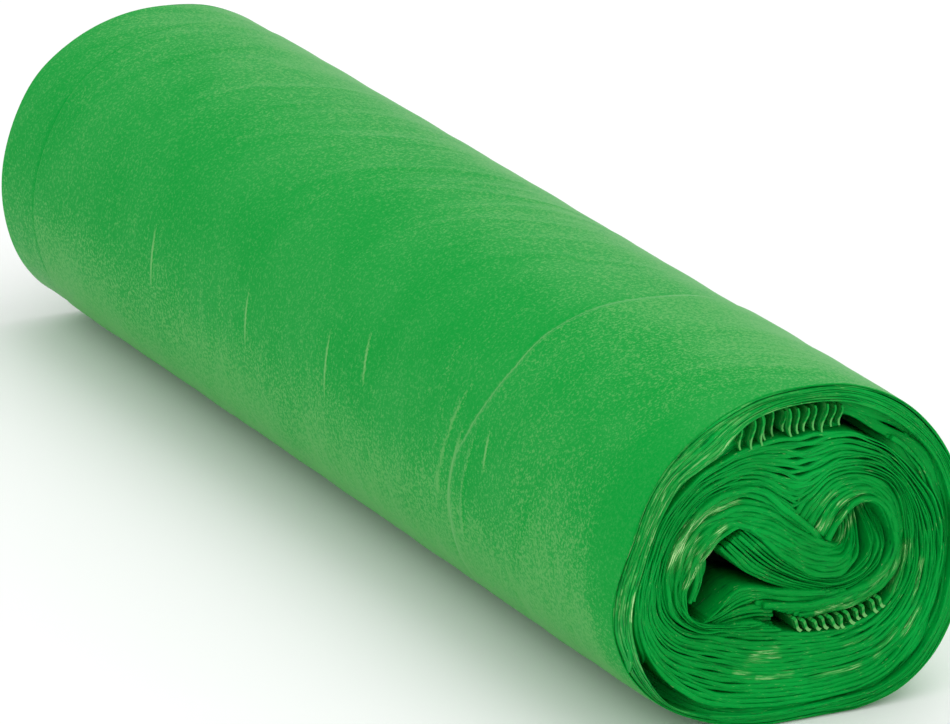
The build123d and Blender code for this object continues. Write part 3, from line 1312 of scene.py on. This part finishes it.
    def build_moat(self, material: Material) -> Object:
        """Makes the slack film at the bottom of the gap between the ring and the bundle.

        Args:
            material: the finish of all its faces.

        Returns:
            The piece.
        """
        section = self.roll.section
        parts = MeshParts()
        angle = self.roll.angles(self.segments)
        degrees = around(angle)
        inner = section.radius("ring", angle) - 0.5
        outer = np.minimum(section.radius("bundle", angle) + 0.5, self.wrap.skin(self.end, angle) - 0.9)
        shallow = 2.0 + 7.5 * bump(93, 21, degrees) ** 2 + 14 * bump(216, 9, degrees)
        for layer in range(3):
            deep = shallow + (26 * bump(60.5, 6.5, degrees) if layer == 0 else 0)
            middle = inner + (outer - inner) * (0.22, 0.58, 0.86)[layer]
            ragged = Ripple(self.seed + 30, (3, 5, 8, 13), 1.5).at(angle, layer)
            wander = Ripple(self.seed + 31, (4, 7, 11), 1.5).at(angle, layer)
            radius = middle + 0.12 * (outer - inner) * wander
            thickness = (outer - inner) * (0.40 + 0.06 * wander)
            path = section.point(angle, radius)
            recess = deep + 0.7 * ragged + 0.4
            ribbon = Ribbon(self.end, self.roll.half_length, 12.0)
            # Painted highlight strokes on the slack film's edges.
            ribbon.build(parts, path, thickness, recess, 0 * angle, self.highlight_and_whitening_at(path, recess), closed=True)
        return parts.make(f"slack_turns_{self.end.name.lower()}", material)


@dataclass(frozen=True)
class FoldFamily:
    """Several folds that lie side by side between two given curves."""

    first: Points
    last: Points
    count: int
    recess: tuple[float, float]
    samples: int = 64
    depth: float = 30.0
    fill: float = 0.8
    sink: float = 0.0


@dataclass
class HeartFolds:
    """The folded middle of the roll, round its two hollows."""

    stack: TurnStack
    families: tuple[FoldFamily, ...] = (
        FoldFamily(
            [(-2, 21.5), (-15, 23.4), (-24, 25), (-30, 30), (-31.3, 37), (-30.2, 44), (-25.8, 50.8),
             (-20, 55.2), (-13, 57), (-6.7, 55.6), (-1.5, 51), (2.2, 48), (7, 43.5), (11, 40),
             (14.2, 38.6), (16.4, 41), (16.8, 46.5)],
            [(-8, 24.2), (-17.8, 24.8), (-24.3, 27.3), (-26.3, 33.3), (-23.8, 38.8), (-18.8, 44.8),
             (-13.8, 47.8), (-10.8, 47.9), (-6.8, 44.8), (-1.8, 39.8), (4.2, 35.3), (9.2, 32.9),
             (14.2, 32.5), (18.6, 34.6), (20.8, 39), (21.2, 46.5)],
            11, (4.4, 4.9), 140, 30.0, 1.02, 7.5,
        ),
        FoldFamily(
            [(2.6, 48.3), (5.5, 51.5), (9.5, 55.2), (15, 56.7), (21, 55.7), (26.2, 52.2), (29.2, 47),
             (30.6, 40), (29.6, 33), (26.8, 28), (21, 24.8), (14, 23.4), (5, 23.4)],
            [(11.4, 40.3), (13.8, 45), (18.3, 48.6), (23.4, 48.2), (26.6, 44.3), (28, 38.3), (26.4, 32.3),
             (22.2, 28.9), (15.2, 27), (7.2, 26.7), (-0.8, 27.3), (-7.8, 28.6)],
            10, (4.4, 5.0), 110, 30.0, 1.02,
        ),
        FoldFamily(
            [(-10, 47.2), (-5.4, 42.8), (-0.4, 37.8), (5.6, 33.8), (11.6, 31.4), (17.6, 31.8), (21.2, 35),
             (22.6, 40), (22.9, 46.5)],
            [(-16.4, 43.1), (-13.2, 39.8), (-10.2, 36.7), (-6.2, 34.2), (-2.2, 32.2), (2.8, 30.1),
             (7.8, 28.6), (12.8, 27.9), (18.4, 28.7), (23.6, 31.8), (26.2, 36.8), (26.6, 42.2),
             (25.2, 46.6)],
            9, (5.0, 6.0), 90, 30.0, 0.92, 8.0,
        ),
        FoldFamily(
            [(-20.6, 27.2), (-16.6, 30.2), (-12.6, 32.7), (-7.6, 32.2), (-2.6, 30.7), (4.4, 29.2),
             (9.4, 28.5)],
            [(-21.6, 25.7), (-17.6, 26.5), (-11.6, 28.2), (-5.6, 29), (2.4, 27.7), (10.4, 26.9),
             (17.4, 27.4)],
            6, (4.8, 5.6), 60, 30.0, 1.0,
        ),
        FoldFamily(
            [(-18.6, 25.2), (-12.5, 27.4), (-7.5, 27.8), (-3.4, 27)],
            [(-17.4, 23.2), (-10.5, 22.6), (-5.5, 22.2), (-2.2, 21.9)],
            5, (6.0, 7.6), 40, 24.0, 0.72,
        ),
        FoldFamily(
            [(-23.4, 41), (-23.2, 36.5), (-24.8, 31.2)],
            [(-18.6, 43.8), (-19, 38.5), (-21.4, 32.6)],
            5, (5.0, 8.5), 40, 30.0, 0.85,
        ),
        FoldFamily(
            [(23.5, 65), (27.4, 62.2), (30.4, 58.8), (33.2, 55), (35.6, 50), (38, 44)],
            [(30, 64.8), (32.6, 62.4), (35.4, 58.6), (37.6, 54.4), (39.4, 49.4), (40, 42)],
            6, (1.0, 3.4), 60, 16.0, 0.72,
        ),
    )

    def build(self, material: Material) -> Object:
        """Makes every fold as a strip of film set on edge.

        Args:
            material: the finish of all its faces.

        Returns:
            The piece.
        """
        parts = MeshParts()
        end, seed, half = self.stack.end, self.stack.seed, self.stack.roll.half_length
        for number, family in enumerate(self.families):
            first = evenly(spline_through(family.first, closed=False), family.samples)
            last = evenly(spline_through(family.last, closed=False), family.samples)
            spread = np.linalg.norm(last - first, axis=1) / (family.count - 1)
            run = np.linalg.norm(np.diff(first, axis=0), axis=1).sum()
            along = np.linspace(0, run / 9.0, family.samples)
            rng = np.random.RandomState(seed + number)
            for index in range(family.count):
                share = index / (family.count - 1)
                wander = Ripple(seed + 20 + number, (1, 2, 3, 5), 1.3).at(along, index)
                path = first + (last - first) * share
                path = path + 0.30 * wander[:, None] * (last - first) / (family.count - 1)
                fill = family.fill * (1 + 0.28 * Ripple(seed + 40 + number, (1, 2, 4), 1.7).at(along, index))
                thickness = np.clip(spread * fill, 0.22, 1.5)
                ragged = Ripple(seed + 60 + number, (2, 4, 7), 1.5).at(along, index)
                recess = family.recess[0] + (family.recess[1] - family.recess[0]) * share
                recess = recess + rng.normal(0, 0.5) + 0.45 * ragged
                recess = recess + family.sink * smoothstep(0.82, 1.0, np.linspace(0, 1, family.samples))
                # Painted highlight strokes on the folds' edges.
                highlight_and_whitening = self.stack.highlight_and_whitening_at(path, recess)
                Ribbon(end, half, family.depth).build(parts, path, thickness, recess, 0.2 * wander, highlight_and_whitening)
        return parts.make(f"heart_folds_{end.name.lower()}", material)


@dataclass
class InnerMass:
    """The wound film between the two ends, which closes every hollow at its bottom."""

    roll: Roll
    start: float = 24.0
    inset: float = 3.2
    rounds: int = 96

    def build(self, material: Material) -> Object:
        """Makes the mass as one closed prism.

        Args:
            material: the finish of all its faces.

        Returns:
            The piece.
        """
        angles = np.linspace(0, FULL_TURN, self.rounds, endpoint=False)
        radius = self.roll.section.radius("outside", angles) - self.inset
        outline = self.roll.section.point(angles, radius)
        reach = self.roll.half_length - self.start
        rings = [np.column_stack([np.full(self.rounds, x), outline]) for x in (-reach, 0.0, reach)]
        points = np.vstack(rings)
        sides = np.roll(quad_grid(3, self.rounds, closed=False), -1, axis=1)
        low = cap_strip(self.rounds)
        high = low[:, ::-1] + 2 * self.rounds
        parts = MeshParts()
        parts.add(points, np.vstack([sides, low, high]), points[:, 1:], np.zeros(len(points)))
        return parts.make("inner_turns", material)


# --- Rows of folds ---


class FoldRowTree:
    """A Geometry Nodes tree that stands bent leaves of film along a guide line."""

    INPUTS = (
        ("Count", "NodeSocketInt", 9),
        ("Leaf Height", "NodeSocketFloat", 0.005),
        ("Leaf Thickness", "NodeSocketFloat", 0.0005),
        ("Leaf Depth", "NodeSocketFloat", 0.014),
        ("Bend", "NodeSocketFloat", 0.0006),
        ("Lean", "NodeSocketFloat", 0.0),
        ("Lean Spread", "NodeSocketFloat", 0.15),
        ("Height Spread", "NodeSocketFloat", 0.2),
        ("Step Spread", "NodeSocketFloat", 0.0006),
        ("Facing", "NodeSocketFloat", 1.0),
        # How much painted highlight, partly stress whitening, each leaf's front edge carries.
        ("Edge Highlight And Whitening", "NodeSocketFloat", 0.6),
        ("Seed", "NodeSocketInt", 1),
        ("Finish", "NodeSocketMaterial", None),
    )

    def __init__(self) -> None:
        """Builds the tree."""
        self.tree = bpy.data.node_groups.new("fold_row", "GeometryNodeTree")
        face = self.tree.interface
        face.new_socket("Geometry", in_out="INPUT", socket_type="NodeSocketGeometry")
        for name, kind, value in self.INPUTS:
            socket = face.new_socket(name, in_out="INPUT", socket_type=kind)
            if value is not None:
                socket.default_value = value
        face.new_socket("Geometry", in_out="OUTPUT", socket_type="NodeSocketGeometry")
        self._wire()

    def _spread(self, kit: NodeKit, sizes: bpy.types.NodeOutputs, key: str, shift: int) -> Socket:
        """A random value between minus and plus the named input.

        Args:
            kit: the tree's nodes.
            sizes: the tree's inputs.
            key: the input that gives the spread.
            shift: added to the seed, so that each use draws its own values.

        Returns:
            The random value.
        """
        seed = kit.maths("ADD", sizes["Seed"], shift)
        value = kit.add("FunctionNodeRandomValue", data_type="FLOAT", Seed=seed)
        kit.feed(kit.scaled(sizes[key], -1.0), value.inputs[2])
        kit.feed(sizes[key], value.inputs[3])
        return value.outputs[1]

    def _leaf(self, kit: NodeKit, sizes: bpy.types.NodeOutputs) -> Socket:
        """One bent leaf with its painted highlight, partly stress whitening, on the front edge, and its film
        coordinates.

        Args:
            kit: the tree's nodes.
            sizes: the tree's inputs.

        Returns:
            The leaf's mesh.
        """
        size = kit.vector(X=sizes["Leaf Depth"], Y=sizes["Leaf Thickness"], Z=sizes["Leaf Height"])
        leaf = kit.add("GeometryNodeMeshCube", Size=size, Vertices_X=14, Vertices_Y=2, Vertices_Z=7)
        position = kit.add("GeometryNodeInputPosition").outputs[0]
        place = kit.add("ShaderNodeSeparateXYZ", Vector=position).outputs
        height = kit.maths("DIVIDE", place["Z"], sizes["Leaf Height"])
        wave = kit.maths("SINE", kit.scaled(height, 5.2))
        bend = kit.vector(Y=kit.scaled(wave, sizes["Bend"]))
        bent = kit.add("GeometryNodeSetPosition", Geometry=leaf.outputs["Mesh"], Offset=bend)
        # Painted highlight on the leaf's front edge, partly stress whitening.
        forward = kit.scaled(kit.maths("DIVIDE", place["X"], sizes["Leaf Depth"]), sizes["Facing"])
        edge = kit.scaled(kit.maths("POWER", kit.maths("ADD", forward, 0.5), 9.0), sizes["Edge Highlight And Whitening"])
        marked = kit.add("GeometryNodeStoreNamedAttribute", data_type="FLOAT", domain="POINT", Name="highlight_and_whitening",
                         Geometry=bent.outputs[0], Value=edge)
        flat = kit.vector(X=place["Z"], Y=kit.scaled(place["X"], 0.3))
        mapped = kit.add("GeometryNodeStoreNamedAttribute", data_type="FLOAT2", domain="CORNER", Name="film",
                         Geometry=marked.outputs[0], Value=flat)
        return mapped.outputs[0]

    def _wire(self) -> None:
        """Joins the nodes: guide to points, leaves on the points, leaves to one mesh."""
        kit = NodeKit(self.tree)
        sizes = kit.add("NodeGroupInput").outputs
        curve = kit.add("GeometryNodeMeshToCurve", Mesh=sizes["Geometry"])
        points = kit.add("GeometryNodeResampleCurve", Curve=curve.outputs[0], Count=sizes["Count"])
        shift = kit.vector(X=self._spread(kit, sizes, "Step Spread", 1),
                           Y=kit.scaled(self._spread(kit, sizes, "Step Spread", 2), 0.6))
        moved = kit.add("GeometryNodeSetPosition", Geometry=points.outputs["Curve"], Offset=shift)
        lean = kit.maths("ADD", sizes["Lean"], self._spread(kit, sizes, "Lean Spread", 3))
        scale = kit.maths("ADD", 1.0, self._spread(kit, sizes, "Height Spread", 4))
        leaf = self._leaf(kit, sizes)
        rows = kit.add("GeometryNodeInstanceOnPoints", Points=moved.outputs[0], Instance=leaf,
                       Rotation=kit.vector(X=lean), Scale=kit.vector(X=1.0, Y=1.0, Z=scale))
        whole = kit.add("GeometryNodeRealizeInstances", Geometry=rows.outputs[0])
        finish = kit.add("GeometryNodeSetMaterial", Geometry=whole.outputs[0], Material=sizes["Finish"])
        kit.feed(finish.outputs[0], kit.add("NodeGroupOutput").inputs[0])


@dataclass(frozen=True)
class FoldRow:
    """A row of short folds on a guide line, with its sizes in mm and its leans in degrees."""

    name: str
    guide: Points
    count: int
    height: float
    lean: float
    seed: int
    recess: float = 1.5
    thickness: float = 0.55
    depth: float = 14.0
    bend: float = 0.25
    lean_spread: float = 11.0
    step_spread: float = 0.7
    # How much painted highlight, partly stress whitening, the leaves' front edges carry.
    highlight_and_whitening: float = 0.5
    height_spread: float = 0.22

    def build(self, roll: Roll, end: End, tree: FoldRowTree, material: Material) -> Object:
        """Makes the row as a plain mesh.

        Args:
            roll: the shared sizes.
            end: which end of the roll it stands in.
            tree: the tree that stands the leaves.
            material: the leaves' finish.

        Returns:
            The row's object, at the origin.
        """
        x = end.value * (roll.half_length - self.recess - self.depth / 2)
        line = spline_through(self.guide, closed=False, per_span=8)
        guide = bpy.data.meshes.new(self.name)
        guide.from_pydata(
            [(x * MM, y * MM, z * MM) for y, z in line], [(k, k + 1) for k in range(len(line) - 1)], []
        )
        obj = add_object(self.name, guide)
        values = {
            "Count": self.count, "Leaf Height": self.height * MM, "Leaf Thickness": self.thickness * MM,
            "Leaf Depth": self.depth * MM, "Bend": self.bend * MM, "Lean": math.radians(self.lean),
            "Lean Spread": math.radians(self.lean_spread), "Height Spread": self.height_spread,
            "Step Spread": self.step_spread * MM, "Facing": float(end.value), "Edge Highlight And Whitening": self.highlight_and_whitening,
            "Seed": self.seed, "Finish": material,
        }
        modifier = obj.modifiers.new("folds", "NODES")
        modifier.node_group = tree.tree
        for item in tree.tree.interface.items_tree:
            if item.in_out == "INPUT" and item.name in values:
                modifier[item.identifier] = values[item.name]
        graph = bpy.context.evaluated_depsgraph_get()
        mesh = bpy.data.meshes.new_from_object(obj.evaluated_get(graph))
        obj.modifiers.remove(modifier)
        obj.data = mesh
        bpy.data.meshes.remove(guide)
        return obj


# --- Studio ---


@dataclass
class Studio:
    """A pale floor, soft lights and the camera."""

    azimuth: float = 63.45
    elevation: float = 18.53
    distance: float = 2.0984
    lens: float = 324.02
    aim_right: float = 0.00509
    aim_up: float = -0.00381
    axis_height: float = 0.0385
    floor_rounds: int = 96
    floor_reach: float = 6.0
    floor_drop: float = 0.0003
    sensor: float = 36.0
    sky: float = 0.92

    def floor(self) -> Object:
        """A wide pale disc on the ground.

        Returns:
            The floor's object.
        """
        angles = [FULL_TURN * k / self.floor_rounds for k in range(self.floor_rounds)]
        reach, drop = self.floor_reach, self.floor_drop
        points = [(reach * math.cos(angle), reach * math.sin(angle), -drop) for angle in angles]
        mesh = bpy.data.meshes.new("floor")
        mesh.from_pydata(points, [], [list(range(self.floor_rounds))])
        material, _, shader = new_material("pale_floor", 0.7, 0.2)
        shader.inputs["Base Color"].default_value = (0.93, 0.93, 0.93, 1.0)
        mesh.materials.append(material)
        return add_object("floor", mesh)

    def light(self, name: str, place: tuple[float, float, float], size: float, power: float) -> None:
        """Adds a square soft light that looks at the roll.

        Args:
            name: the light's name.
            place: where it stands, in metres.
            size: the length of its side, in metres.
            power: its strength in watts.
        """
        lamp = bpy.data.lights.new(name, "AREA")
        lamp.size = size
        lamp.energy = power
        obj = add_object(name, lamp)
        obj.location = place
        towards = Vector((0, 0, self.axis_height)) - Vector(place)
        obj.rotation_euler = towards.to_track_quat("-Z", "Y").to_euler()

    def camera(self) -> None:
        """The camera, far off with a long lens, looking down at the end of the roll."""
        azimuth, elevation = math.radians(self.azimuth), math.radians(self.elevation)
        back = Vector((
            math.sin(azimuth) * math.cos(elevation),
            -math.cos(azimuth) * math.cos(elevation),
            math.sin(elevation),
        ))
        right = Vector((math.cos(azimuth), math.sin(azimuth), 0))
        up = back.cross(right)
        middle = Vector((0, 0, self.axis_height))
        lens = bpy.data.cameras.new("camera")
        lens.lens = self.lens
        lens.sensor_width = self.sensor
        obj = add_object("camera", lens)
        place = middle + back * self.distance
        aim = middle + right * self.aim_right + up * self.aim_up
        obj.location = place
        obj.rotation_euler = (aim - place).to_track_quat("-Z", "Y").to_euler()
        bpy.context.scene.camera = obj

    def world(self) -> None:
        """An even pale sky."""
        sky = bpy.data.worlds.new("sky")
        sky.use_nodes = True
        background = sky.node_tree.nodes["Background"]
        background.inputs["Color"].default_value = (1, 1, 1, 1)
        background.inputs["Strength"].default_value = self.sky
        bpy.context.scene.world = sky

    def build(self) -> None:
        """Sets up the whole studio."""
        bpy.context.scene.view_settings.view_transform = "Standard"
        self.camera()
        self.world()
        self.light("overhead", (0.3, 0.6, 2.2), 1.8, 14.0)
        self.light("front_fill", (2.2, -1.4, 1.4), 1.6, 7.0)
        self.floor()


def dress(piece: Object) -> None:
    """Puts a finished piece on the roll's body in place of the plain solid.

    Args:
        piece: the piece's object.
    """
    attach(piece, BODY)
    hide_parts(NODE)
    LOG.info("%s: %d faces", piece.name, len(piece.data.polygons))


def main() -> None:
    """Builds the roll, piece by piece, and its studio."""
    logging.basicConfig(level=logging.INFO)
    Studio().build()
    groups = ShaderGroups()
    film = FilmSurface().make(groups)
    edges = FilmEdges().make(groups)
    deep = PaintedShadeTurns().make(groups)
    roll = Roll()
    wrap = OuterWrap(roll)
    dress(wrap.build(film))
    dress(wrap.build_under(film))
    # The inner mass wears the near-black painted shade finish.
    dress(InnerMass(roll).build(deep))
    rows = FoldRowTree()
    for end, seed, strokes in ((End.FRONT, 100, FRONT_STROKES), (End.BACK, 300, BACK_STROKES)):
        stack = TurnStack(roll, wrap, end, seed, strokes)
        dress(stack.build_ring(edges))
        dress(stack.build_bundle(edges))
        dress(stack.build_moat(edges))
        dress(HeartFolds(stack).build(edges))
        side = end.name.lower()
        pleats = FoldRow(
            f"gap_pleats_{side}", [(-13.5, 70.9), (-6, 72.6), (2, 72.8), (11, 72.2)], 13, 5.9, 2.0, seed + 1,
            recess=1.8, thickness=0.45, bend=0.5, step_spread=1.5, highlight_and_whitening=0.20)
        teeth = FoldRow(
            f"fold_teeth_{side}", [(2.5, 22.0), (9, 21.3), (17, 21.6), (24.5, 24.2)], 11, 3.9, 38.0, seed + 2,
            recess=3.8, thickness=0.75, bend=0.45, step_spread=0.8, highlight_and_whitening=0.34)
        for row in (pleats, teeth):
            dress(row.build(roll, end, rows, edges))


if __name__ == "__main__":
    main()
